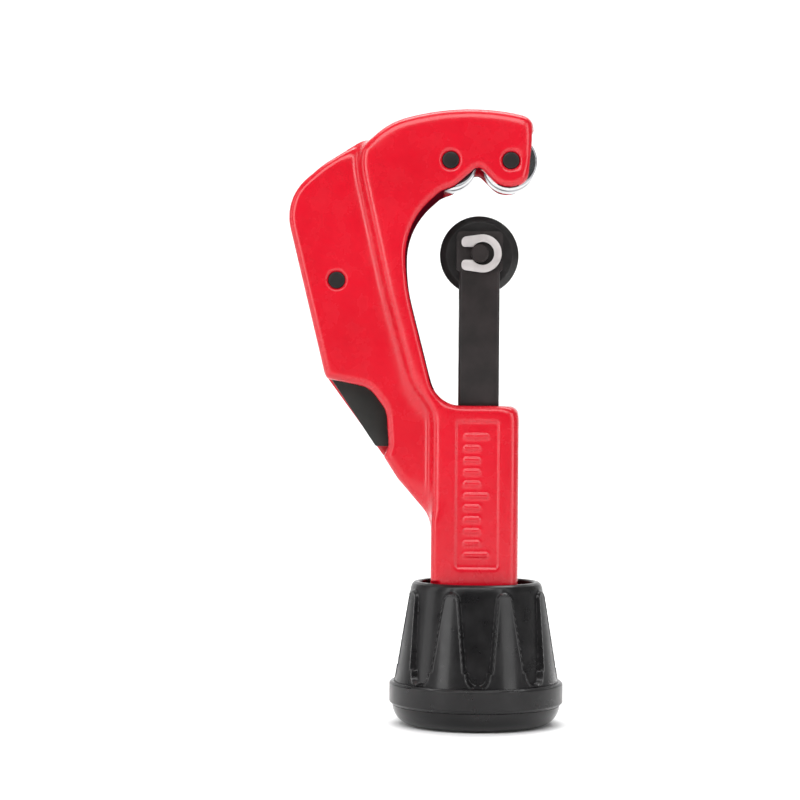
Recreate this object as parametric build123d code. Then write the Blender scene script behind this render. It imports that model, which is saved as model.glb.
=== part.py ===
from build123d import *
import math
import os

# --------------------------------------------------------------------------------------------------
# Tube cutter with an enclosed feed screw.  Millimetres.  Z runs up the feed screw from the flat end of the knob,
# X points out of the open side of the C frame, and the two faces of the frame look along -Y and +Y.
# --------------------------------------------------------------------------------------------------

# Feed axis stations
KNOB_TOP = 34.2
HOUSING_BOTTOM = 27.0
HOUSING_TOP = 76.2
WHEEL_Z = 112.3
ROLLER_Z = 134.1
ROLLER_X = 7.1

# Frame casting
RAISED_HALF = 10.0
WEB_HALF = 6.2
RAISED_EDGE = 1.7
WEB_EDGE = 2.0
STEP_BLEND = 1.2
HOUSING_LEFT = -11.1
HOUSING_RIGHT = 9.6
NESTED_RADIUS = 13.2
NESTED_HEIGHT = 7.7
GUIDE_X = 9.9
GUIDE_Y = 12.3
GUIDE_FLOOR = 31.5
POCKET_HALF = 7.7
POCKET_RADIUS = 7.2
PANEL_DEPTH = 0.4

# Rollers
ROLLER_RADIUS = 6.3
ROLLER_LENGTH = 15.0
ROLLER_GROOVE_RADIUS = 4.8
ROLLER_GROOVE_WIDTH = 3.0
ROLLER_PIN_DIAMETER = 4.0
ROLLER_PIN_LENGTH = 19.2
PIN_SINK_DIAMETER = 4.9
PIN_SINK_DEPTH = 0.5

# Reamer
REAMER_X = -33.94
REAMER_Z = 105.8
REAMER_EYE = 6.5
REAMER_FRONT = -1.5
REAMER_BACK = 0.9
REAMER_PIN_DIAMETER = 4.0
REAMER_SLOT_HALF = 1.6
REAMER_WASHER_RADIUS = 5.5

# Slide, wheel, wheel pin and clip
BAR_X = 9.6
BAR_Y = 12.0
BAR_BOTTOM = 57.8
HEAD_X = 11.0
HEAD_DROP = 4.3
HEAD_RISE = 5.3
FORK_GAP = 6.6
FORK_FLOOR = 101.8
BAR_BORE_TOP = 98.0
WHEEL_RADIUS = 9.45
WHEEL_HALF_THICKNESS = 1.1
WHEEL_HUB_RADIUS = 3.6
WHEEL_HUB_HALF = 3.2
WHEEL_BEVEL_START = 7.9
WHEEL_PIN_DIAMETER = 4.3
WHEEL_PIN_FRONT = -7.9
WHEEL_PIN_HEAD_RADIUS = 3.5
WHEEL_PIN_HEAD_THICKNESS = 1.2
CLIP_BACK = -6.1
CLIP_THICKNESS = 0.9
CLIP_GROOVE_DIAMETER = 3.0
CLIP_GAP = 3.1
CLIP_RING_OUTER = 4.5
CLIP_RING_INNER = 2.75
CLIP_RING_X = 0.65
CLIP_TIP_X = -4.35

# Feed screw
THREAD_MAJOR = 6.4
THREAD_TOP = 73.0
THREAD_CLEARANCE = 0.15
JOURNAL_DIAMETER = 6.0
FLANGE_RADIUS = 4.9
FLANGE_BOTTOM = 32.0
FLANGE_TOP = 33.5
DRIVE_FLAT = 5.0
STUD_DIAMETER = 5.0
STUD_BOTTOM = 6.2
BUSH_RADIUS = 4.5

# Knob
BAND_RADIUS = 20.8
BAND_BOTTOM = 4.8
BAND_TOP = 10.4
PAD_RADIUS_LOW = 19.6
PAD_RADIUS_HIGH = 16.4
CORE_RADIUS_LOW = 18.3
CORE_RADIUS_HIGH = 15.8
PAD_COUNT = 8
PAD_ARCH_TOP = 32.6
RECESS_RADIUS = 13.7
RECESS_FLOOR = 26.5
CAVITY_RADIUS = 15.5
CAVITY_TOP = 12.0
CAP_FLAT_RADIUS = 15.0
CAP_SKIRT = 1.6

# Raised part of the frame, seen along +Y: X, Z and the radius the corner is rounded to.
RAISED_OUTLINE = [
    (HOUSING_LEFT, HOUSING_BOTTOM, 0),
    (HOUSING_LEFT, 74.6, 4),
    (-16.2, 81.6, 12),
    (-22.3, 103.5, 40),
    (-28.7, 131.9, 15),
    (-28.7, 136.8, 4),
    (-21.9, 143.2, 17),
    (-4.05, 148.2, 56.5),
    (12.6, 144.6, 3),
    (12.6, 137.0, 6),
    (12.05, 133.4, 4),
    (12.05, 127.65, 5.2),
    (4.53, 127.65, 5.2),
    (-0.5, 132.66, 1.5),
    (-6.2, 127.7, 5),
    (-9.3, 126.6, 5),
    (-17.4, 119.2, 17.5),
    (-17.4, 105.15, 48),
    (-9.94, HOUSING_TOP, 7.5),
    (HOUSING_RIGHT, HOUSING_TOP, 2.2),
    (HOUSING_RIGHT, HOUSING_BOTTOM, 0),
]

# Thinner web behind the C, seen the same way.
WEB_OUTLINE = [
    (-21.0, 139.3, 0),
    (-27.9, 139.3, 5),
    (-37.5, 133.3, 20),
    (-46.85, 125.25, 12),
    (-36.6, 83.1, 5),
    (-22.2, 63.5, 8),
    (-19.1, 58.7, 6),
    (-11.7, 50.2, 8),
    (-9.6, 38.0, 0),
    (-5.0, 38.0, 0),
    (-5.0, 70.0, 0),
    (-14.5, 84.0, 0),
    (-20.0, 105.0, 0),
    (-21.5, 125.0, 0),
]

# Finger notch that bares the reamer, cut through the front cheek of the web.
NOTCH_OUTLINE = [
    (-44.0, 84.0, 0),
    (-26.0, 80.4, 6),
    (-21.9, 74.8, 5),
    (-21.3, 66.5, 2.5),
    (-23.6, 61.4, 0),
    (-44.0, 61.4, 0),
]

# Reamer blade folded into the web.
REAMER_OUTLINE = [
    (-39.0, 100.0, 3),
    (-35.7, 83.1, 4),
    (-24.5, 66.4, 0.6),
    (-19.4, 66.4, 1),
    (-18.2, 76.0, 8),
    (-28.0, 104.5, 3),
]

# Slit the reamer folds into, open along the outer edge of the web.
REAMER_SLIT = [
    (-36.0, 112.6, 0),
    (-52.0, 116.0, 0),
    (-52.0, 62.0, 0),
    (-18.2, 61.6, 1),
    (-17.0, 76.4, 8),
    (-27.0, 106.0, 3),
    (-31.0, 112.4, 3),
]


def corner_face(outline, plane=Plane.XZ):
    """Face bounded by a closed polyline whose corners carry their own radii."""
    points = [(x, z) for x, z, radius in outline]
    radii = [radius for x, z, radius in outline]
    with BuildSketch(plane) as sketch:
        with BuildLine():
            FilletPolyline(*points, radius=radii, close=True)
        make_face()
    return sketch.sketch


def slab(outline, half):
    """Outline extruded equally to both sides of the middle plane."""
    return extrude(corner_face(outline), amount=half, both=True)


def y_cylinder(x, z, radius, front, back):
    """Cylinder along Y between two Y stations."""
    middle = (front + back) / 2
    return Pos(x, middle, z) * Rot(90, 0, 0) * Cylinder(radius, back - front)


def z_cylinder(radius, bottom, top):
    """Cylinder on the feed axis between two heights."""
    return Pos(0, 0, (bottom + top) / 2) * Cylinder(radius, top - bottom)


def block(x0, x1, y0, y1, z0, z1):
    """Box between two opposite corners."""
    return Pos((x0 + x1) / 2, (y0 + y1) / 2, (z0 + z1) / 2) * Box(x1 - x0, y1 - y0, z1 - z0)


def lathe(profile):
    """Closed profile of radius and height turned about the feed axis."""
    with BuildSketch(Plane.XZ) as sketch:
        with BuildLine():
            Polyline(*profile, close=True)
        make_face()
    return revolve(sketch.sketch, axis=Axis.Z, revolution_arc=360)


def save(shape, name):
    shape.label = name
    export_step(shape, f"parts/{name}.step")


# --------------------------------------------------------------------------------------------------
# Frame
# --------------------------------------------------------------------------------------------------


def on_wall(edge, wall):
    """True for an edge lying on the side wall that stands over a flat outline."""
    point = edge.position_at(0.5)
    return wall.distance_to(Vertex(point.X, 0, point.Z)) < 0.03


def frame_blank():
    """C shaped raised part and the thinner web behind it, with the step between them blended."""
    raised = slab(RAISED_OUTLINE, RAISED_HALF)
    rims = [e for e in raised.edges() if abs(abs(e.center().Y) - RAISED_HALF) < 0.01 and e.center().Z > 27.1]
    raised = fillet(rims, RAISED_EDGE)
    web = slab(WEB_OUTLINE, WEB_HALF)
    rims = [e for e in web.edges() if abs(abs(e.center().Y) - WEB_HALF) < 0.01 and e.center().X < -11.2]
    rims = [e for e in rims if not (e.center().X > -25 and e.center().Z > 80)]
    web = fillet(rims, WEB_EDGE)
    blank = raised + web
    wall = corner_face(RAISED_OUTLINE).wire()
    foot = [e for e in blank.edges() if abs(abs(e.position_at(0.5).Y) - WEB_HALF) < 0.02 and e.length > 0.3]
    foot = [e for e in foot if e.position_at(0.5).Z > 53 and on_wall(e, wall)]
    return fillet(foot, STEP_BLEND)


def roller_pocket():
    """Slot between the cheeks that carry the rollers."""
    end = y_cylinder(-ROLLER_X, ROLLER_Z, POCKET_RADIUS, -POCKET_HALF, POCKET_HALF)
    run = block(-ROLLER_X, 20, -POCKET_HALF, POCKET_HALF, 120, ROLLER_Z + POCKET_RADIUS)
    return end + run


def pin_hole(x, z, diameter, half, sink_diameter):
    """Through hole for a pin, with a shallow sink at both ends."""
    hole = y_cylinder(x, z, diameter / 2, -half - 1, half + 1)
    for side in (-1, 1):
        near = side * half
        far = side * (half - PIN_SINK_DEPTH)
        hole += y_cylinder(x, z, sink_diameter / 2, min(near, far) - 0.001, max(near, far) + 0.001)
    return hole


def notch_cut():
    """Finger notch from the reamer slit to the front of the web, with a flared rim."""
    face = corner_face(NOTCH_OUTLINE)
    cut = extrude(face, amount=WEB_HALF + 1, dir=(0, -1, 0))
    return cut + extrude(Pos(0, -WEB_HALF + 1.2, 0) * face, amount=1.6, dir=(0, -1, 0), taper=-45)


def marking():
    """Plain row of raised bars standing in the sunk panel on the front of the housing."""
    bars = []
    for row in range(11):
        middle = 41.0 + row * 2.8
        width = 5.4 if row % 5 == 0 else 3.4
        bars.append(block(-3.2, -3.2 + width, -10.0, -9.5, middle - 0.45, middle + 0.45))
    return bars


def frame_casting():
    frame = frame_blank()
    frame -= roller_pocket()
    for x in (-ROLLER_X, ROLLER_X):
        frame -= pin_hole(x, ROLLER_Z, ROLLER_PIN_DIAMETER, RAISED_HALF, PIN_SINK_DIAMETER)
    frame -= pin_hole(REAMER_X, REAMER_Z, REAMER_PIN_DIAMETER, WEB_HALF, PIN_SINK_DIAMETER)
    frame -= notch_cut()
    slit = slab(REAMER_SLIT, REAMER_SLOT_HALF)
    slit += y_cylinder(REAMER_X, REAMER_Z, REAMER_EYE + 0.6, -REAMER_SLOT_HALF, REAMER_SLOT_HALF)
    frame -= slit
    guide = block(-GUIDE_X / 2, GUIDE_X / 2, -GUIDE_Y / 2, GUIDE_Y / 2, GUIDE_FLOOR, HOUSING_TOP + 5)
    frame -= fillet(guide.edges().filter_by(Axis.Z), 0.6)
    frame -= z_cylinder(BUSH_RADIUS, HOUSING_BOTTOM - 1, GUIDE_FLOOR + 0.5)
    nested = block(-20, 20, -20, 20, HOUSING_BOTTOM - 1, HOUSING_BOTTOM + NESTED_HEIGHT)
    frame -= nested - z_cylinder(NESTED_RADIUS, HOUSING_BOTTOM - 2, HOUSING_BOTTOM + NESTED_HEIGHT + 1)
    panel = block(-5.4, 4.8, -RAISED_HALF - 1, -RAISED_HALF + PANEL_DEPTH, 37.6, 72.6)
    frame -= fillet(panel.edges().filter_by(Axis.Y), 1.0)
    for bar in marking():
        frame += bar
    return frame


# --------------------------------------------------------------------------------------------------
# Rollers and their pins
# --------------------------------------------------------------------------------------------------


def roller(x):
    """Polished roller with a relief groove that lets the wheel run between the rollers."""
    half = ROLLER_LENGTH / 2
    body = fillet(Cylinder(ROLLER_RADIUS, ROLLER_LENGTH).edges(), 0.5)
    groove = Cylinder(ROLLER_RADIUS + 1, ROLLER_GROOVE_WIDTH) - Cylinder(ROLLER_GROOVE_RADIUS, ROLLER_GROOVE_WIDTH)
    body -= groove
    body -= Cylinder(ROLLER_PIN_DIAMETER / 2 + 0.05, 2 * half + 1)
    return Pos(x, 0, ROLLER_Z) * Rot(90, 0, 0) * body


def roller_pin(x):
    pin = Cylinder(ROLLER_PIN_DIAMETER / 2, ROLLER_PIN_LENGTH)
    pin = chamfer(pin.edges(), 0.25)
    return Pos(x, 0, ROLLER_Z) * Rot(90, 0, 0) * pin


# --------------------------------------------------------------------------------------------------
# Reamer
# --------------------------------------------------------------------------------------------------


def reamer_blade():
    """Flat blade with a round eye and a blunt end."""
    thickness = REAMER_BACK - REAMER_FRONT
    middle = (REAMER_BACK + REAMER_FRONT) / 2
    blade = Pos(0, middle, 0) * slab(REAMER_OUTLINE, thickness / 2)
    blade += y_cylinder(REAMER_X, REAMER_Z, REAMER_EYE, REAMER_FRONT, REAMER_BACK)
    return blade - y_cylinder(REAMER_X, REAMER_Z, REAMER_PIN_DIAMETER / 2 + 0.05, -3, 3)


def reamer_washer():
    """Spring washer that holds the blade where it is left."""
    ring = y_cylinder(REAMER_X, REAMER_Z, REAMER_WASHER_RADIUS, REAMER_BACK + 0.05, REAMER_SLOT_HALF)
    return ring - y_cylinder(REAMER_X, REAMER_Z, REAMER_PIN_DIAMETER / 2, 0, 3)


def reamer_pin():
    pin = y_cylinder(REAMER_X, REAMER_Z, REAMER_PIN_DIAMETER / 2, -WEB_HALF + 0.4, WEB_HALF - 0.4)
    return chamfer(pin.edges(), 0.25)


# --------------------------------------------------------------------------------------------------
# Slide, wheel, pin and clip
# --------------------------------------------------------------------------------------------------


def slide_bar():
    """Square bar bored for the feed screw, with a forked head that carries the wheel."""
    top = WHEEL_Z + HEAD_RISE
    bar = block(-BAR_X / 2, BAR_X / 2, -BAR_Y / 2, BAR_Y / 2, BAR_BOTTOM, top - 1)
    bar = fillet(bar.edges().filter_by(Axis.Z), 0.7)
    head = block(-HEAD_X / 2, HEAD_X / 2, -BAR_Y / 2, BAR_Y / 2, WHEEL_Z - HEAD_DROP, top)
    head = fillet(head.edges().filter_by(Axis.Y), 1.2)
    bar += head
    bar -= block(-HEAD_X, HEAD_X, -FORK_GAP / 2, FORK_GAP / 2, FORK_FLOOR, top + 1)
    bar -= z_cylinder(THREAD_MAJOR / 2 + THREAD_CLEARANCE, BAR_BOTTOM - 1, BAR_BORE_TOP)
    return bar - y_cylinder(0, WHEEL_Z, WHEEL_PIN_DIAMETER / 2, -10, 10)


def cutter_wheel():
    """Thin hardened disc ground to an edge, with a hub that fills the fork."""
    profile = [
        (WHEEL_PIN_DIAMETER / 2 + 0.05, -WHEEL_HUB_HALF),
        (WHEEL_HUB_RADIUS, -WHEEL_HUB_HALF),
        (WHEEL_HUB_RADIUS, -WHEEL_HALF_THICKNESS),
        (WHEEL_BEVEL_START, -WHEEL_HALF_THICKNESS),
        (WHEEL_RADIUS, -0.08),
        (WHEEL_RADIUS, 0.08),
        (WHEEL_BEVEL_START, WHEEL_HALF_THICKNESS),
        (WHEEL_HUB_RADIUS, WHEEL_HALF_THICKNESS),
        (WHEEL_HUB_RADIUS, WHEEL_HUB_HALF),
        (WHEEL_PIN_DIAMETER / 2 + 0.05, WHEEL_HUB_HALF),
    ]
    return Pos(0, 0, WHEEL_Z) * Rot(90, 0, 0) * lathe(profile)


def wheel_pin():
    """Headed pin, grooved near its front end for the clip."""
    radius = WHEEL_PIN_DIAMETER / 2
    back = BAR_Y / 2
    shank = y_cylinder(0, WHEEL_Z, radius, WHEEL_PIN_FRONT, back)
    shank = chamfer(shank.edges().group_by(Axis.Y)[0], 0.3)
    head = y_cylinder(0, WHEEL_Z, WHEEL_PIN_HEAD_RADIUS, back, back + WHEEL_PIN_HEAD_THICKNESS)
    head = fillet(head.edges().group_by(Axis.Y)[-1], 0.4)
    groove_front = CLIP_BACK - CLIP_THICKNESS - 0.05
    groove = y_cylinder(0, WHEEL_Z, radius + 1, groove_front, CLIP_BACK + 0.05)
    groove -= y_cylinder(0, WHEEL_Z, CLIP_GROOVE_DIAMETER / 2, groove_front, CLIP_BACK + 0.05)
    return shank + head - groove


def pin_clip():
    """Horseshoe clip that opens away from the throat."""
    half_gap = CLIP_GAP / 2
    arms = [
        (CLIP_TIP_X, half_gap, 0.9),
        (CLIP_TIP_X, 3.85, 1.2),
        (0.4, CLIP_RING_OUTER, 0),
        (0.4, half_gap, 0),
    ]
    ring = Plane.XZ * (Pos(CLIP_RING_X, 0) * Circle(CLIP_RING_OUTER))
    face = ring + corner_face(arms) + corner_face([(x, -z, radius) for x, z, radius in arms])
    face -= Plane.XZ * (Pos(CLIP_RING_X, 0) * Circle(CLIP_RING_INNER))
    face -= Plane.XZ * (Pos(CLIP_TIP_X / 2, 0) * Rectangle(-CLIP_TIP_X, CLIP_GAP))
    clip = extrude(face, amount=CLIP_THICKNESS / 2, both=True)
    return Pos(0, CLIP_BACK - CLIP_THICKNESS / 2, WHEEL_Z) * clip


# --------------------------------------------------------------------------------------------------
# Feed screw and its bearings
# --------------------------------------------------------------------------------------------------


def feed_screw():
    """Screw that turns in place: thread, thrust flange, journal, flats for the knob and a threaded stud."""
    screw = z_cylinder(THREAD_MAJOR / 2, FLANGE_TOP, THREAD_TOP)
    screw = chamfer(screw.edges().group_by(Axis.Z)[-1], 0.7)
    screw += z_cylinder(FLANGE_RADIUS, FLANGE_BOTTOM, FLANGE_TOP)
    screw += z_cylinder(JOURNAL_DIAMETER / 2, RECESS_FLOOR, FLANGE_BOTTOM)
    drive = z_cylinder(JOURNAL_DIAMETER / 2, CAVITY_TOP, RECESS_FLOOR)
    screw += drive & block(-10, 10, -DRIVE_FLAT / 2, DRIVE_FLAT / 2, CAVITY_TOP, RECESS_FLOOR)
    stud = z_cylinder(STUD_DIAMETER / 2, STUD_BOTTOM, CAVITY_TOP)
    return screw + chamfer(stud.edges().group_by(Axis.Z)[0], 0.5)


def journal_bush():
    bush = z_cylinder(BUSH_RADIUS, HOUSING_BOTTOM, GUIDE_FLOOR)
    return bush - z_cylinder(JOURNAL_DIAMETER / 2 + 0.05, HOUSING_BOTTOM - 1, GUIDE_FLOOR + 1)


def thrust_washer():
    washer = z_cylinder(FLANGE_RADIUS, GUIDE_FLOOR, FLANGE_BOTTOM)
    return washer - z_cylinder(JOURNAL_DIAMETER / 2 + 0.1, GUIDE_FLOOR - 1, FLANGE_BOTTOM + 1)


def knob_washer():
    washer = z_cylinder(12.0, RECESS_FLOOR, HOUSING_BOTTOM)
    return washer - z_cylinder(JOURNAL_DIAMETER / 2 + 0.1, RECESS_FLOOR - 1, HOUSING_BOTTOM + 1)


# --------------------------------------------------------------------------------------------------
# Knob
# --------------------------------------------------------------------------------------------------


def grip_pad():
    """One raised pad of the grip, arched at its top, on the +X side."""
    arch = [
        (-5.15, BAND_TOP - 0.5, 0),
        (5.15, BAND_TOP - 0.5, 0),
        (2.1, PAD_ARCH_TOP, 1.9),
        (-2.1, PAD_ARCH_TOP, 1.9),
    ]
    prism = extrude(corner_face(arch, Plane.YZ), amount=24)
    shell = lathe(
        [
            (12.0, BAND_TOP - 0.5),
            (PAD_RADIUS_LOW, BAND_TOP - 0.5),
            (PAD_RADIUS_HIGH, PAD_ARCH_TOP + 0.5),
            (12.0, PAD_ARCH_TOP + 0.5),
        ]
    )
    return shell & prism & block(0, 30, -30, 30, 0, 60)


def knob():
    """Moulded grip with raised pads, recessed at the top for the housing and at the bottom for the nut."""
    grip = lathe(
        [
            (CAVITY_RADIUS, BAND_BOTTOM),
            (BAND_RADIUS - 0.7, BAND_BOTTOM),
            (BAND_RADIUS, BAND_BOTTOM + 0.7),
            (BAND_RADIUS, BAND_TOP - 0.5),
            (BAND_RADIUS - 0.5, BAND_TOP),
            (CORE_RADIUS_LOW, BAND_TOP),
            (CORE_RADIUS_HIGH, KNOB_TOP - 1.5),
            (CORE_RADIUS_HIGH - 0.4, KNOB_TOP - 0.5),
            (CORE_RADIUS_HIGH - 1.0, KNOB_TOP),
            (RECESS_RADIUS, KNOB_TOP),
            (RECESS_RADIUS, RECESS_FLOOR),
            (0, RECESS_FLOOR),
            (0, CAVITY_TOP),
            (CAVITY_RADIUS, CAVITY_TOP),
        ]
    )
    pad = grip_pad()
    for index in range(PAD_COUNT):
        grip += Rot(0, 0, (index + 0.5) * 360 / PAD_COUNT) * pad
    grip -= z_cylinder(RECESS_RADIUS, RECESS_FLOOR, KNOB_TOP + 1)
    drive = z_cylinder(JOURNAL_DIAMETER / 2, CAVITY_TOP - 1, RECESS_FLOOR + 1)
    return grip - (drive & block(-10, 10, -DRIVE_FLAT / 2, DRIVE_FLAT / 2, 0, 40))


def knob_cap():
    """Domed cap with a flat foot, snapped into the underside of the knob."""
    with BuildSketch(Plane.XZ) as sketch:
        with BuildLine():
            Line((0, 0), (CAP_FLAT_RADIUS, 0))
            RadiusArc((CAP_FLAT_RADIUS, 0), (BAND_RADIUS - 0.7, BAND_BOTTOM), -5.3)
            Polyline(
                (BAND_RADIUS - 0.7, BAND_BOTTOM),
                (CAVITY_RADIUS, BAND_BOTTOM),
                (CAVITY_RADIUS, BAND_BOTTOM + 3),
                (CAVITY_RADIUS - CAP_SKIRT, BAND_BOTTOM + 3),
                (CAVITY_RADIUS - CAP_SKIRT, 3.0),
                (0, 3.0),
                (0, 0),
            )
        make_face()
    return revolve(sketch.sketch, axis=Axis.Z, revolution_arc=360)


def nut_washer():
    washer = z_cylinder(5.0, CAVITY_TOP - 1, CAVITY_TOP)
    return washer - z_cylinder(STUD_DIAMETER / 2 + 0.15, CAVITY_TOP - 2, CAVITY_TOP + 1)


def lock_nut():
    """Hexagon nut on the stud of the feed screw."""
    blank = extrude(RegularPolygon(8 / math.sqrt(3), 6), amount=4.0)
    nut = Pos(0, 0, CAVITY_TOP - 5) * blank
    return nut - z_cylinder(STUD_DIAMETER / 2, 0, CAVITY_TOP)


if __name__ == "__main__":
    os.makedirs("parts", exist_ok=True)
    save(frame_casting(), "frame_casting")
    save(roller(-ROLLER_X), "inner_roller")
    save(roller(ROLLER_X), "outer_roller")
    save(roller_pin(-ROLLER_X), "inner_roller_pin")
    save(roller_pin(ROLLER_X), "outer_roller_pin")
    save(reamer_blade(), "reamer_blade")
    save(reamer_washer(), "reamer_washer")
    save(reamer_pin(), "reamer_pin")
    save(slide_bar(), "slide_bar")
    save(cutter_wheel(), "cutter_wheel")
    save(wheel_pin(), "wheel_pin")
    save(pin_clip(), "pin_clip")
    save(feed_screw(), "feed_screw")
    save(journal_bush(), "journal_bush")
    save(thrust_washer(), "thrust_washer")
    save(knob_washer(), "knob_washer")
    save(knob(), "knob")
    save(knob_cap(), "knob_cap")
    save(nut_washer(), "nut_washer")
    save(lock_nut(), "lock_nut")
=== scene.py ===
import math

import bmesh
import bpy
import numpy as np
from mathutils import Matrix, Vector


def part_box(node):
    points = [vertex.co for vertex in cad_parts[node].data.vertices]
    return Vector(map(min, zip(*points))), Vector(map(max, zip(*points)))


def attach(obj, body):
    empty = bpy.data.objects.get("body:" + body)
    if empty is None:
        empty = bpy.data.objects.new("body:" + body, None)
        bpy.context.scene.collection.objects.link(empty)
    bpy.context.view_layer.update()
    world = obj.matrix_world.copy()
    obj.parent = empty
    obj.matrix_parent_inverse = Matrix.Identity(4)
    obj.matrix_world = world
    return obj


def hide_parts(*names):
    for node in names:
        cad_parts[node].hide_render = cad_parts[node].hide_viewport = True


MM = 0.001
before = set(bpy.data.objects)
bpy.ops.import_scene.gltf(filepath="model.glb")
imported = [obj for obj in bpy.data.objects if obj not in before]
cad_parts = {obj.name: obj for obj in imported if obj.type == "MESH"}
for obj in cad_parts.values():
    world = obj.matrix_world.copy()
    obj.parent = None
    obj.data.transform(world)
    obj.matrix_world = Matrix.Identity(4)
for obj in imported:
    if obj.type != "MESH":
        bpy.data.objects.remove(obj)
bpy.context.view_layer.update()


# --------------------------------------------------------------------------------------------------
# Dimensions in millimetres in the row frame.  A profile is a list of (radius, station on the axis).
# --------------------------------------------------------------------------------------------------

AXIS = 0.001  # radius at which a profile meets its axis
SHARP_ANGLE = math.radians(50)  # a turned piece is shaded flat across edges sharper than this

CAD_WELD = 2e-6  # metres within which vertices are joined, in a CAD mesh and in a turned piece
TURNED_WELD = 1e-7
FLAT_ANGLE = math.radians(0.5)  # CAD faces that meet at less than this are joined
BEVEL_ANGLE = math.radians(35)  # edges sharper than this are bevelled
BEVEL_SEGMENTS = 3

KNOB_SEGMENTS = 576
KNOB_ROWS = 90  # rows of faces over the grip
KNOB_SKIRT = [(15.5, 4.8), (20.1, 4.8), (20.8, 5.5), (20.8, 9.9), (20.3, 10.4), (18.3, 10.4)]
KNOB_SKIRT_EDGE = 0.35
KNOB_RIM = [(15.8, 32.7), (15.4, 33.7), (14.8, 34.2), (13.7, 34.2), (13.7, 26.5), (3.0, 26.5)]
KNOB_RIM_EDGE = 0.5
KNOB_CAVITY = [(3.0, 26.5), (3.0, 12.0), (15.5, 12.0), (15.5, 4.8)]
CORE_LINE = [(18.3, 10.4), (15.8, 32.7)]  # bottom of the flutes
PAD_LINE = [(19.6, 9.9), (16.4, 33.1)]  # face of the pads
PAD_PITCH = math.pi / 4
PAD_HALF_LINE = [(5.15, 9.9), (2.1, 32.6)]  # half the width of a pad against Z
PAD_TOP = 32.6
PAD_CORNER = 1.9
PAD_FLANK = 0.5  # width of the slope round a pad
FLUTE_BOTTOM = 10.7
FLUTE_CORNER = 2.0
FLUTE_END_TOP = 14  # the round lower ends of the flutes are below this
LINE_HEIGHT = 0.16  # raised edge line: part of the pad's height, its place on the flank and its width
LINE_PLACE = 0.55
LINE_WIDTH = 0.22

CAP_SEGMENTS = 192
CAP_FOOT = [(AXIS, 0), (8, 0), (14.4, 0)]
CAP_ARC_CENTRE = 15.0
CAP_ARC_RADIUS = 5.1
CAP_ARC_SWEEP = math.radians(86)
CAP_ARC_POINTS = 15
CAP_LIP = [(20.1, 4.75), (19.95, 4.8), (15.6, 4.8), (15.5, 4.9)]
CAP_INSIDE = [(15.5, 7.8), (13.9, 7.8), (13.9, 3.0), (AXIS, 3.0)]

ROLLER_SEGMENTS = 128
ROLLER_BORE = 2.05
ROLLER_RADIUS = 6.3
ROLLER_HALF = 7.5
ROLLER_EDGE = 0.45
GROOVE_RADIUS = 4.8
GROOVE_HALF = 1.5

WHEEL_SEGMENTS = 160
WHEEL_SIDE = [(2.2, -3.2), (3.6, -3.2), (3.6, -1.1), (7.9, -1.1), (9.4, -0.1)]
WHEEL_TIP = 9.45
WHEEL_EDGE = 0.15

PIN_SEGMENTS = 64
PIN_RADIUS = 2.0
PIN_EDGE = 0.35
ROLLER_PIN_LENGTH = 19.2
REAMER_PIN_LENGTH = 11.6

BAR_BEVEL = 0.3
CLIP_BEVEL = 0.25
BLADE_BEVEL = 0.2

# Paths in the XZ plane along which the casting is softened, with the reach of each.
STEP_LINE = [(-27.8, 138.0), (-28.7, 132), (-22.3, 103.5), (-16.2, 81.6), (-11.4, 75.0), (-11.2, 54.0)]
STEP_REACH = 3.0
STEP_DEPTH = 4.6  # the step is further from the middle plane than this
NOTCH_RIM = [(-36.0, 82.0), (-26.5, 80.8), (-22.2, 77.0), (-21.3, 73.0), (-20.8, 66.5), (-22.3, 63.3)]
NOTCH_REACH = 1.2
NOTCH_FACE = -3.4  # the rim of the notch is in front of this Y
NOTCH_SHARE = 0.06
OUTER_EDGE = [(-28.7, 133.0), (-28.3, 137.3), (-21.9, 142.6), (-13.0, 145.5)]
OUTER_EDGE += [(-4.0, 147.0), (11.6, 144.9), (12.6, 143.0), (12.6, 134.0)]
HOUSING_EDGE = [(9.6, 75.0), (9.6, 33.0)]
EDGE_REACH = 3.0
FACE_DEPTH = 10  # from the middle plane to the broad faces
VOXEL = 0.28
PANEL_FACE = -9.0  # the sunk panel with its bars: in front of this Y
PANEL_HALF = 6.2
PANEL_BOTTOM = 36
PANEL_TOP = 74
PANEL_SHARE = 0.35  # how far the first rounds soften the bars of the panel
FIRST_ROUNDS = 5
LAST_ROUNDS = 150
KEPT_FACES = 0.4
# The inner walls of the throat, which are given painted shade, lie within this box
THROAT_DEPTH = 9.4  # the inner walls of the throat: within this of the middle plane
THROAT_LEFT = -19.5
THROAT_RIGHT = 9.0
THROAT_BOTTOM = 80
THROAT_TOP = 134


# --------------------------------------------------------------------------------------------------
# Materials
# --------------------------------------------------------------------------------------------------

RANGE_SOCKETS = ("From Min", "From Max", "To Min", "To Max")
NOISE_SPAN = (0.3, 0.7)  # where most of a noise's values lie
NOISE_ROUGHNESS = 0.55


def set_range(node, numbers):
    for name, number in zip(RANGE_SOCKETS, numbers):
        node.inputs[name].default_value = number


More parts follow.
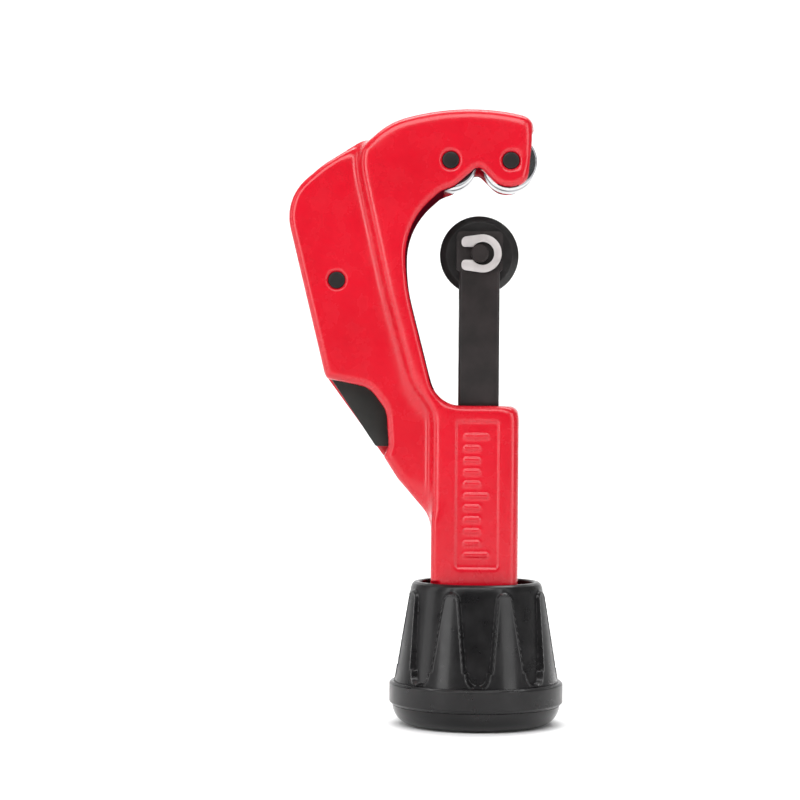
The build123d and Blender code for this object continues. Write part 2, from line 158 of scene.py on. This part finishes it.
class Shader:
    """A material's node tree with a Principled shader and a few short ways to add to it."""

    def __init__(self, name):
        self.material = bpy.data.materials.new(name)
        self.material.use_nodes = True
        self.tree = self.material.node_tree
        self.principled = next(n for n in self.tree.nodes if n.type == "BSDF_PRINCIPLED")
        self.coordinates = self.tree.nodes.new("ShaderNodeTexCoord").outputs["Object"]

    def constant(self, **values):
        for name, value in values.items():
            self.principled.inputs[name.replace("_", " ")].default_value = value

    def link(self, output, socket):
        self.tree.links.new(output, socket)

    def noise(self, scale, detail, stretch=(1, 1, 1)):
        mapping = self.tree.nodes.new("ShaderNodeMapping")
        mapping.inputs["Scale"].default_value = stretch
        self.link(self.coordinates, mapping.inputs["Vector"])
        noise = self.tree.nodes.new("ShaderNodeTexNoise")
        noise.inputs["Scale"].default_value = scale
        noise.inputs["Detail"].default_value = detail
        noise.inputs["Roughness"].default_value = NOISE_ROUGHNESS
        self.link(mapping.outputs["Vector"], noise.inputs["Vector"])
        return noise.outputs["Fac"]

    def remap(self, value, *numbers):
        """A value mapped from its low and high to a new low and high."""
        node = self.tree.nodes.new("ShaderNodeMapRange")
        set_range(node, numbers)
        self.link(value, node.inputs["Value"])
        return node.outputs["Result"]

    def color(self, factor, first, second):
        """Base colour that runs between two tones."""
        node = self.tree.nodes.new("ShaderNodeMix")
        node.data_type = "RGBA"
        self.link(factor, node.inputs["Factor"])
        node.inputs[6].default_value = (*first, 1)
        node.inputs[7].default_value = (*second, 1)
        self.link(node.outputs[2], self.principled.inputs["Base Color"])

    def roughness(self, noise, low, high):
        self.link(self.remap(noise, *NOISE_SPAN, low, high), self.principled.inputs["Roughness"])

    def bump(self, *heights):
        """Chain of bumps, each (height output, strength, distance in metres)."""
        normal = None
        for height, strength, distance in heights:
            node = self.tree.nodes.new("ShaderNodeBump")
            node.inputs["Strength"].default_value = strength
            node.inputs["Distance"].default_value = distance
            self.link(height, node.inputs["Height"])
            if normal is not None:
                self.link(normal, node.inputs["Normal"])
            normal = node.outputs["Normal"]
        self.link(normal, self.principled.inputs["Normal"])


def red_enamel():
    s = Shader("red_enamel")
    s.constant(Coat_Weight=0.3, Coat_Roughness=0.12, Specular_IOR_Level=0.3)
    s.color(s.remap(s.noise(45, 2), *NOISE_SPAN, 0, 1), (0.53, 0.0045, 0.016), (0.48, 0.0035, 0.013))
    s.roughness(s.noise(260, 3), 0.20, 0.32)
    s.bump((s.noise(420, 2), 0.12, 0.0002), (s.noise(95, 2), 0.10, 0.0006))
    return s.material


def throat_painted_shade():
    """Painted shade: the red enamel darkened and dulled on the inner walls of the throat, which lie in
    shadow.
    """
    s = Shader("throat_painted_shade")
    s.constant(Specular_IOR_Level=0.0)
    # painted shade: dark red tones that stand for the shadow on these walls
    s.color(s.noise(300, 3), (0.045, 0.002, 0.005), (0.075, 0.003, 0.008))
    s.roughness(s.noise(260, 3), 0.8, 0.95)
    s.bump((s.noise(420, 2), 0.12, 0.0002))
    return s.material


def polished_steel():
    """Bright steel with fine lines round the Y axis."""
    s = Shader("polished_steel")
    s.constant(Metallic=1.0)
    s.color(s.noise(60, 2), (0.40, 0.40, 0.41), (0.28, 0.28, 0.30))
    turned = (0.02, 1, 0.02)
    s.roughness(s.noise(1500, 3, turned), 0.10, 0.24)
    s.bump((s.noise(2500, 2, turned), 0.05, 0.00004))
    return s.material


def black_oxide(name, tint, rough):
    s = Shader(name)
    s.constant(Metallic=0.2, Coat_Weight=0.1, Coat_Roughness=0.3, Specular_IOR_Level=0.25)
    worn = tuple(c * 1.9 for c in tint)
    s.color(s.remap(s.noise(160, 5), 0.35, 0.7, 0, 1), tint, worn)
    s.roughness(s.noise(420, 4), *rough)
    s.bump((s.noise(1900, 3), 0.10, 0.00006), (s.noise(120, 2), 0.06, 0.0004))
    return s.material


def bright_zinc():
    s = Shader("bright_zinc")
    s.constant(Metallic=0.85)
    s.color(s.noise(400, 4), (0.66, 0.62, 0.61), (0.50, 0.47, 0.47))
    s.roughness(s.noise(900, 3), 0.35, 0.5)
    s.bump((s.noise(1500, 3), 0.12, 0.00005))
    return s.material


def plain_steel():
    s = Shader("plain_steel")
    s.constant(Metallic=1.0)
    s.color(s.noise(200, 3), (0.50, 0.50, 0.51), (0.36, 0.36, 0.37))
    s.roughness(s.noise(900, 3), 0.28, 0.45)
    s.bump((s.noise(2500, 2, (0.05, 0.05, 1)), 0.08, 0.00004))
    return s.material


def sintered_bronze():
    s = Shader("sintered_bronze")
    s.constant(Metallic=1.0)
    s.color(s.noise(700, 4), (0.62, 0.40, 0.17), (0.42, 0.26, 0.11))
    s.roughness(s.noise(900, 3), 0.4, 0.6)
    s.bump((s.noise(2400, 4), 0.2, 0.00005))
    return s.material


def white_nylon():
    s = Shader("white_nylon")
    s.color(s.noise(300, 3), (0.78, 0.77, 0.72), (0.68, 0.67, 0.62))
    s.roughness(s.noise(600, 3), 0.45, 0.6)
    s.bump((s.noise(1500, 2), 0.08, 0.00005))
    return s.material


def black_plastic(name, rough, peel):
    """Moulded plastic; peel is the strength of its slow waviness."""
    s = Shader(name)
    s.constant(Coat_Weight=0.15, Coat_Roughness=0.12, Specular_IOR_Level=0.22)
    cloud = s.remap(s.noise(120, 5), 0.35, 0.7, 0, 1)
    s.color(cloud, (0.004, 0.0038, 0.0042), (0.010, 0.0095, 0.010))
    s.roughness(s.noise(240, 4), *rough)
    s.bump((s.noise(1300, 3), 0.08, 0.00006), (s.noise(110, 3), peel, 0.0006))
    return s.material


def pale_floor():
    s = Shader("pale_floor")
    s.color(s.noise(3, 2), (0.93, 0.93, 0.93), (0.90, 0.90, 0.90))
    s.roughness(s.noise(5, 2), 0.85, 0.95)
    return s.material


# --------------------------------------------------------------------------------------------------
# Mesh helpers
# --------------------------------------------------------------------------------------------------


def shade_smooth(mesh):
    """Marks every face smooth."""
    mesh.polygons.foreach_set("use_smooth", [True] * len(mesh.polygons))


def link_mesh(name, mesh):
    obj = bpy.data.objects.new(name, mesh)
    bpy.context.scene.collection.objects.link(obj)
    return obj


def add_object(name, vertices, faces, material):
    """New object; the vertices are in metres."""
    mesh = bpy.data.meshes.new(name)
    mesh.from_pydata([tuple(v) for v in vertices], [], [tuple(f) for f in faces])
    mesh.validate()
    mesh.update()
    shade_smooth(mesh)
    mesh.materials.append(material)
    return link_mesh(name, mesh)


def put(obj, node, body):
    """The piece rides with a body and stands for a CAD node, which is hidden."""
    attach(obj, body)
    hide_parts(node)


def dress(node, material):
    """A CAD node shown as it is, with its own finish."""
    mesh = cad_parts[node].data
    mesh.materials.clear()
    mesh.materials.append(material)


def clean_copy(node, name, material):
    """Copy of a CAD node's mesh, welded, with its flat faces joined up."""
    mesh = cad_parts[node].data.copy()
    mesh.name = name
    work = bmesh.new()
    work.from_mesh(mesh)
    bmesh.ops.remove_doubles(work, verts=work.verts, dist=CAD_WELD)
    bmesh.ops.dissolve_limit(
        work,
        angle_limit=FLAT_ANGLE,
        verts=work.verts,
        edges=work.edges,
        use_dissolve_boundaries=False,
    )
    work.to_mesh(mesh)
    work.free()
    mesh.materials.clear()
    mesh.materials.append(material)
    shade_smooth(mesh)
    return link_mesh(name, mesh)


def bevelled_copy(node, name, material, bevel):
    """Clean copy of a CAD node with its sharp edges rounded by a bevel in millimetres."""
    obj = clean_copy(node, name, material)
    modifier = obj.modifiers.new("edge", "BEVEL")
    modifier.width = bevel * MM
    modifier.segments = BEVEL_SEGMENTS
    modifier.limit_method = "ANGLE"
    modifier.angle_limit = BEVEL_ANGLE
    modifier.harden_normals = True
    modifier.use_clamp_overlap = True
    return obj


def rounded(profile, radius):
    """Profile with every inner corner rounded by up to the given radius."""
    steps = 4
    straight = math.radians(170)
    share = 0.45  # of each side of the corner that an arc may use
    lead = 1.12  # place of the guard points before and after an arc, as a multiple of its reach
    points = [Vector(p) for p in profile]
    out = [points[0]]
    for before, corner, after in zip(points, points[1:], points[2:]):
        a = (before - corner).normalized()
        b = (after - corner).normalized()
        angle = a.angle(b)
        if angle > straight:
            out.append(corner)
            continue
        sides = ((before - corner).length * share, (after - corner).length * share)
        reach = min(radius / math.tan(angle / 2), *sides)
        arc = reach * math.tan(angle / 2)
        centre = corner + (a + b).normalized() * (arc / math.sin(angle / 2))
        start = corner + a * reach - centre
        end = corner + b * reach - centre
        turn = start.angle(end)
        out.append(corner + a * reach * lead)
        for step in range(steps + 1):
            t = step / steps
            mix = (start * math.sin((1 - t) * turn) + end * math.sin(t * turn)) / math.sin(turn)
            out.append(centre + mix)
        out.append(corner + b * reach * lead)
    out.append(points[-1])
    return out


def ring_angles(segments):
    return [2 * math.pi * s / segments for s in range(segments)]


def ring_faces(rows, segments):
    """Quads between successive rings of vertices."""
    faces = []
    for low in range(0, (rows - 1) * segments, segments):
        high = low + segments
        for s in range(segments):
            t = (s + 1) % segments
            faces.append((low + s, low + t, high + t, high + s))
    return faces


def weld(mesh, turn_outwards):
    """Joins the vertices that meet where a profile closes, and turns the faces outwards if asked."""
    work = bmesh.new()
    work.from_mesh(mesh)
    bmesh.ops.remove_doubles(work, verts=work.verts, dist=TURNED_WELD)
    if turn_outwards:
        bmesh.ops.recalc_face_normals(work, faces=work.faces)
    work.to_mesh(mesh)
    work.free()


def lathe(name, profile, material, place, segments):
    """Profile turned about local Z, then placed."""
    vertices = []
    for r, z in profile:
        for a in ring_angles(segments):
            vertices.append(place @ Vector((r * math.cos(a) * MM, r * math.sin(a) * MM, z * MM)))
    obj = add_object(name, vertices, ring_faces(len(profile), segments), material)
    weld(obj.data, True)
    return obj


def along_y(node):
    """Places a turned piece on a node's centre with its axis along Y, local Z pointing to the front."""
    low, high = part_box(node)
    centre = (low + high) / 2
    return Matrix.Translation((centre.x, 0, centre.z)) @ Matrix.Rotation(math.pi / 2, 4, "X")


# --------------------------------------------------------------------------------------------------
# Turned pieces
# --------------------------------------------------------------------------------------------------


def on_line(line, z):
    """Value at a height on a straight line between two (value, Z) points."""
    (r0, z0), (r1, z1) = line
    return r0 + (r1 - r0) * (z - z0) / (z1 - z0)


def inside(across, z, half, end, corner):
    """Depth inside a round-ended strip of the given half width; negative outside it."""
    dx = across - (half - corner)
    dz = z - (end - corner)
    return corner - math.hypot(dx, dz) if dx > 0 and dz > 0 else corner - max(dx, dz)


def pad_lift(angle, z):
    """0 in the flutes, 1 on the pads, with a fine raised line along the edge of each pad."""
    local = abs((angle % PAD_PITCH) - PAD_PITCH / 2)
    reach = on_line(PAD_LINE, z)
    half = on_line(PAD_HALF_LINE, z)
    depth = inside(math.sin(local) * reach, z, half, PAD_TOP, PAD_CORNER)
    if z < FLUTE_END_TOP:
        across = math.sin(PAD_PITCH / 2 - local) * reach
        flute_half = math.sin(PAD_PITCH / 2) * reach - half
        flute = inside(across, -z, flute_half, -FLUTE_BOTTOM, FLUTE_CORNER)
        depth = max(depth, PAD_FLANK - flute)
    t = min(max(depth / PAD_FLANK, 0), 1)
    return t * t * (3 - 2 * t) + LINE_HEIGHT * math.exp(-(((depth - LINE_PLACE) / LINE_WIDTH) ** 2))


def build_knob(material):
    """Grip with soft-edged raised pads, one closed skin with the recess, cavity and drive hole."""
    (_, low), (_, high) = CORE_LINE
    outer = rounded(KNOB_SKIRT, KNOB_SKIRT_EDGE)[:-1]
    side = [(None, low + (high - low) * i / KNOB_ROWS) for i in range(KNOB_ROWS + 1)]
    top = rounded(KNOB_RIM, KNOB_RIM_EDGE)[1:]
    rows = list(outer) + side + list(top) + KNOB_CAVITY
    vertices = []
    for r, z in rows:
        for a in ring_angles(KNOB_SEGMENTS):
            radius = r
            if r is None:
                base = on_line(CORE_LINE, z)
                radius = base + (on_line(PAD_LINE, z) - base) * pad_lift(a, z)
            vertices.append((radius * math.cos(a) * MM, radius * math.sin(a) * MM, z * MM))
    obj = add_object("knob_grip", vertices, ring_faces(len(rows), KNOB_SEGMENTS), material)
    weld(obj.data, False)
    obj.data.set_sharp_from_angle(angle=SHARP_ANGLE)
    put(obj, "knob", "knob")


def build_cap(material):
    arc = []
    for t in np.linspace(0, CAP_ARC_SWEEP, CAP_ARC_POINTS):
        z = CAP_ARC_RADIUS - CAP_ARC_RADIUS * math.cos(t)
        arc.append((CAP_ARC_CENTRE + CAP_ARC_RADIUS * math.sin(t), z))
    profile = CAP_FOOT + arc + CAP_LIP + CAP_INSIDE
    obj = lathe("cap_dome", profile, material, Matrix.Identity(4), CAP_SEGMENTS)
    obj.data.set_sharp_from_angle(angle=SHARP_ANGLE)
    put(obj, "knob_cap", "knob")


def build_roller(node, material):
    right = [(GROOVE_RADIUS, GROOVE_HALF), (ROLLER_RADIUS, GROOVE_HALF)]
    right += [(ROLLER_RADIUS, ROLLER_HALF), (ROLLER_BORE, ROLLER_HALF)]
    left = [(r, -z) for r, z in reversed(right)]
    profile = rounded(left + right, ROLLER_EDGE) + [Vector(left[0])]
    obj = lathe(node + "_shell", profile, material, along_y(node), ROLLER_SEGMENTS)
    obj.data.set_sharp_from_angle(angle=SHARP_ANGLE)
    put(obj, node, node)


def build_wheel(material):
    profile = rounded(WHEEL_SIDE, WHEEL_EDGE) + [Vector((WHEEL_TIP, 0))]
    mirrored = [Vector((p.x, -p.y)) for p in reversed(profile[:-1])]
    profile += mirrored + [profile[0]]
    obj = lathe("wheel_disc", profile, material, along_y("cutter_wheel"), WHEEL_SEGMENTS)
    obj.data.set_sharp_from_angle(angle=SHARP_ANGLE)
    put(obj, "cutter_wheel", "wheel")


def build_pin(node, material, length):
    half = length / 2
    profile = rounded([(AXIS, -half), (PIN_RADIUS, -half), (PIN_RADIUS, half), (AXIS, half)], PIN_EDGE)
    obj = lathe(node + "_turned", profile, material, along_y(node), PIN_SEGMENTS)
    put(obj, node, "frame")


# --------------------------------------------------------------------------------------------------
# Frame casting
# --------------------------------------------------------------------------------------------------


def segment_distance(points, path):
    """Distance in the XZ plane from each point, in metres, to a path."""
    best = np.full(len(points), 1e9)
    flat = points[:, (0, 2)]
    for a, b in zip(path, path[1:]):
        a, b = np.array(a) * MM, np.array(b) * MM
        t = np.clip((flat - a) @ (b - a) / ((b - a) @ (b - a)), 0, 1)
        best = np.minimum(best, np.linalg.norm(flat - a - t[:, None] * (b - a), axis=1))
    return best


def near(distance, reach, start):
    """1 close to a path, falling to 0 where the distance is start times the reach."""
    return np.clip(start - distance / (reach * MM), 0, 1)


def relax(co, edges, weight, rounds):
    """Moves each point towards the middle of its neighbours, by its own weight."""
    count = np.bincount(edges.ravel(), minlength=len(co)).astype(float)[:, None]
    for _ in range(rounds):
        total = np.zeros_like(co)
        for axis in range(3):
            total[:, axis] = np.bincount(edges[:, 0], co[edges[:, 1], axis], len(co))
            total[:, axis] += np.bincount(edges[:, 1], co[edges[:, 0], axis], len(co))
        co = co + 0.5 * weight[:, None] * (total / count - co)
    return co


def read_vectors(items, name):
    values = np.zeros(len(items) * 3)
    items.foreach_get(name, values)
    return values.reshape(-1, 3)


def soften(mesh):
    """Blends the step and the rim of the notch, and softens the edges, but spares the sunk panel."""
    co = read_vectors(mesh.vertices, "co")
    edges = np.zeros(len(mesh.edges) * 2, np.int64)
    mesh.edges.foreach_get("vertices", edges)
    edges = edges.reshape(-1, 2)
    x, y, z = co[:, 0], co[:, 1], co[:, 2]
    step = near(segment_distance(co, STEP_LINE), STEP_REACH, 1.7) * (np.abs(y) > STEP_DEPTH * MM)
    rim = near(segment_distance(co, NOTCH_RIM), NOTCH_REACH, 1.6) * (y < NOTCH_FACE * MM)
    across = np.minimum(segment_distance(co, OUTER_EDGE), segment_distance(co, HOUSING_EDGE))
    wide = near(np.hypot(across, FACE_DEPTH * MM - np.abs(y)), EDGE_REACH, 1.6)
    panel = (y < PANEL_FACE * MM) & (np.abs(x) < PANEL_HALF * MM)
    panel &= (z > PANEL_BOTTOM * MM) & (z < PANEL_TOP * MM)
    co = relax(co, edges, np.where(panel, PANEL_SHARE, 1.0), FIRST_ROUNDS)
    weight = np.maximum.reduce([step, rim * NOTCH_SHARE, wide]) * ~panel
    co = relax(co, edges, weight, LAST_ROUNDS)
    mesh.vertices.foreach_set("co", co.ravel())
    mesh.update()


def painted_shade_faces(mesh):
    """True for the faces of the walls between the housing and the rollers, inside the C, which are
    given painted shade.
    """
    centre = read_vectors(mesh.polygons, "center")
    normal = read_vectors(mesh.polygons, "normal")
    x, y, z = centre[:, 0], centre[:, 1], centre[:, 2]
    inner = (np.abs(normal[:, 1]) < 0.5) & (normal[:, 0] > -0.5) & (np.abs(y) < THROAT_DEPTH * MM)
    inner &= (x > THROAT_LEFT * MM) & (x < THROAT_RIGHT * MM)
    inner &= (z > THROAT_BOTTOM * MM) & (z < THROAT_TOP * MM)
    return inner


def build_frame_casting(material):
    """Casting skin: the CAD shape with every edge softened, as cast and painted."""
    rough = clean_copy("frame_casting", "casting_rough", material)
    remesh = rough.modifiers.new("skin", "REMESH")
    remesh.mode = "VOXEL"
    remesh.voxel_size = VOXEL * MM
    evaluated = rough.evaluated_get(bpy.context.evaluated_depsgraph_get())
    mesh = bpy.data.meshes.new_from_object(evaluated)
    bpy.data.objects.remove(rough)
    soften(mesh)
    # second material with painted shade on the inner walls of the throat
    mesh.materials.append(throat_painted_shade())
    mesh.polygons.foreach_set("material_index", painted_shade_faces(mesh).astype(np.int32))
    mesh.name = "casting_skin"
    shade_smooth(mesh)
    obj = link_mesh("casting_skin", mesh)
    thin = obj.modifiers.new("thin", "DECIMATE")
    thin.ratio = KEPT_FACES
    put(obj, "frame_casting", "frame")


# --------------------------------------------------------------------------------------------------
# The tool
# --------------------------------------------------------------------------------------------------

enamel = red_enamel()
steel = polished_steel()
pin_black = black_oxide("black_pin", (0.010, 0.009, 0.009), (0.3, 0.45))
bar_black = black_oxide("black_bar", (0.011, 0.0085, 0.0085), (0.36, 0.5))
wheel_black = black_oxide("wheel_steel", (0.013, 0.012, 0.012), (0.28, 0.42))
blade_black = black_oxide("blade_steel", (0.011, 0.011, 0.010), (0.35, 0.5))

build_frame_casting(enamel)
for name in ("inner_roller", "outer_roller"):
    build_roller(name, steel)
for name in ("inner_roller_pin", "outer_roller_pin"):
    build_pin(name, pin_black, ROLLER_PIN_LENGTH)
build_pin("reamer_pin", pin_black, REAMER_PIN_LENGTH)
build_wheel(wheel_black)
build_knob(black_plastic("knob_plastic", (0.24, 0.38), 0.16))
build_cap(black_plastic("cap_plastic", (0.16, 0.26), 0.05))

bar = bevelled_copy("slide_bar", "bar_body", bar_black, BAR_BEVEL)
put(bar, "slide_bar", "slide")
clip = bevelled_copy("pin_clip", "clip_spring", bright_zinc(), CLIP_BEVEL)
put(clip, "pin_clip", "slide")
blade = bevelled_copy("reamer_blade", "blade_plate", blade_black, BLADE_BEVEL)
put(blade, "reamer_blade", "reamer")

dress("wheel_pin", bar_black)
turned_steel = plain_steel()
for name in ("feed_screw", "thrust_washer", "nut_washer", "lock_nut", "reamer_washer"):
    dress(name, turned_steel)
dress("journal_bush", sintered_bronze())
dress("knob_washer", white_nylon())


# --------------------------------------------------------------------------------------------------
# Floor, light and camera, in metres
# --------------------------------------------------------------------------------------------------

FLOOR_FRONT = -3.0
FLOOR_BACK = 0.9
SWEEP_RADIUS = 0.6
SWEEP_POINTS = 13
WALL_TOP = 3.0
BACKDROP_HALF = 4.0

WORLD_RANGE = (-0.5, 0.6, 0.10, 0.45)  # Y of the direction, then strength: low and high of each
TOOL_MIDDLE = (0, 0, 0.08)
AREAS = [  # name, position, target, size, watts
    ("strip_top", (-0.05, -0.60, 0.70), TOOL_MIDDLE, (1.0, 0.36), 6.2),
    ("strip_left", (-0.66, -0.58, 0.30), TOOL_MIDDLE, (0.26, 0.7), 3.2),
    ("strip_right", (0.66, -0.60, 0.26), TOOL_MIDDLE, (0.3, 0.8), 3.0),
    ("side_left", (-0.90, -0.05, 0.28), TOOL_MIDDLE, (0.3, 0.8), 1.6),
    ("top", (0.0, 0.05, 0.85), TOOL_MIDDLE, (0.5, 0.35), 1.5),
    ("sweep", (0.0, 0.5, 1.6), (0, 1.2, 0.3), (2.0, 0.6), 30),
]

CAMERA_PLACE = (-0.0121, -0.528, 0.0725)
CAMERA_ROLL = math.radians(-0.45)
CAMERA_SHIFT = (-0.0344, 0.02625)
CAMERA_LENS = 99
CAMERA_SENSOR = 36
CAMERA_NEAR = 0.01


def add_backdrop():
    """Pale floor that sweeps up behind the tool."""
    profile = [(FLOOR_FRONT, 0.0), (FLOOR_BACK, 0.0)]
    for t in np.linspace(0, math.pi / 2, SWEEP_POINTS)[1:]:
        y = FLOOR_BACK + SWEEP_RADIUS * math.sin(t)
        profile.append((y, SWEEP_RADIUS - SWEEP_RADIUS * math.cos(t)))
    profile.append((FLOOR_BACK + SWEEP_RADIUS, WALL_TOP))
    vertices = [(x, y, z) for y, z in profile for x in (-BACKDROP_HALF, BACKDROP_HALF)]
    faces = [(2 * i, 2 * i + 1, 2 * i + 3, 2 * i + 2) for i in range(len(profile) - 1)]
    add_object("backdrop", vertices, faces, pale_floor())


def add_area(name, position, target, size, power):
    light = bpy.data.lights.new(name, "AREA")
    light.shape = "RECTANGLE"
    light.size, light.size_y = size
    light.energy = power
    obj = bpy.data.objects.new(name, light)
    obj.location = position
    aim = Vector(target) - Vector(position)
    obj.rotation_euler = aim.to_track_quat("-Z", "Y").to_euler()
    bpy.context.scene.collection.objects.link(obj)


def add_world():
    """Even light, dimmer from behind the camera so that flat faces keep their colour."""
    world = bpy.data.worlds.new("studio")
    bpy.context.scene.world = world
    world.use_nodes = True
    nodes, links = world.node_tree.nodes, world.node_tree.links
    background = nodes["Background"]
    background.inputs["Color"].default_value = (1, 1, 1, 1)
    direction = nodes.new("ShaderNodeTexCoord")
    split = nodes.new("ShaderNodeSeparateXYZ")
    ramp = nodes.new("ShaderNodeMapRange")
    set_range(ramp, WORLD_RANGE)
    links.new(direction.outputs["Generated"], split.inputs["Vector"])
    links.new(split.outputs["Y"], ramp.inputs["Value"])
    links.new(ramp.outputs["Result"], background.inputs["Strength"])


def add_camera():
    """Level view along +Y with a slight roll."""
    data = bpy.data.cameras.new("camera")
    data.sensor_width = CAMERA_SENSOR
    data.lens = CAMERA_LENS
    data.shift_x, data.shift_y = CAMERA_SHIFT
    data.clip_start = CAMERA_NEAR
    camera = bpy.data.objects.new("camera", data)
    camera.location = CAMERA_PLACE
    camera.rotation_euler = (math.pi / 2, CAMERA_ROLL, 0)
    bpy.context.scene.collection.objects.link(camera)
    bpy.context.scene.camera = camera
    bpy.context.scene.view_settings.view_transform = "Standard"


add_backdrop()
add_world()
for area in AREAS:
    add_area(*area)
add_camera()
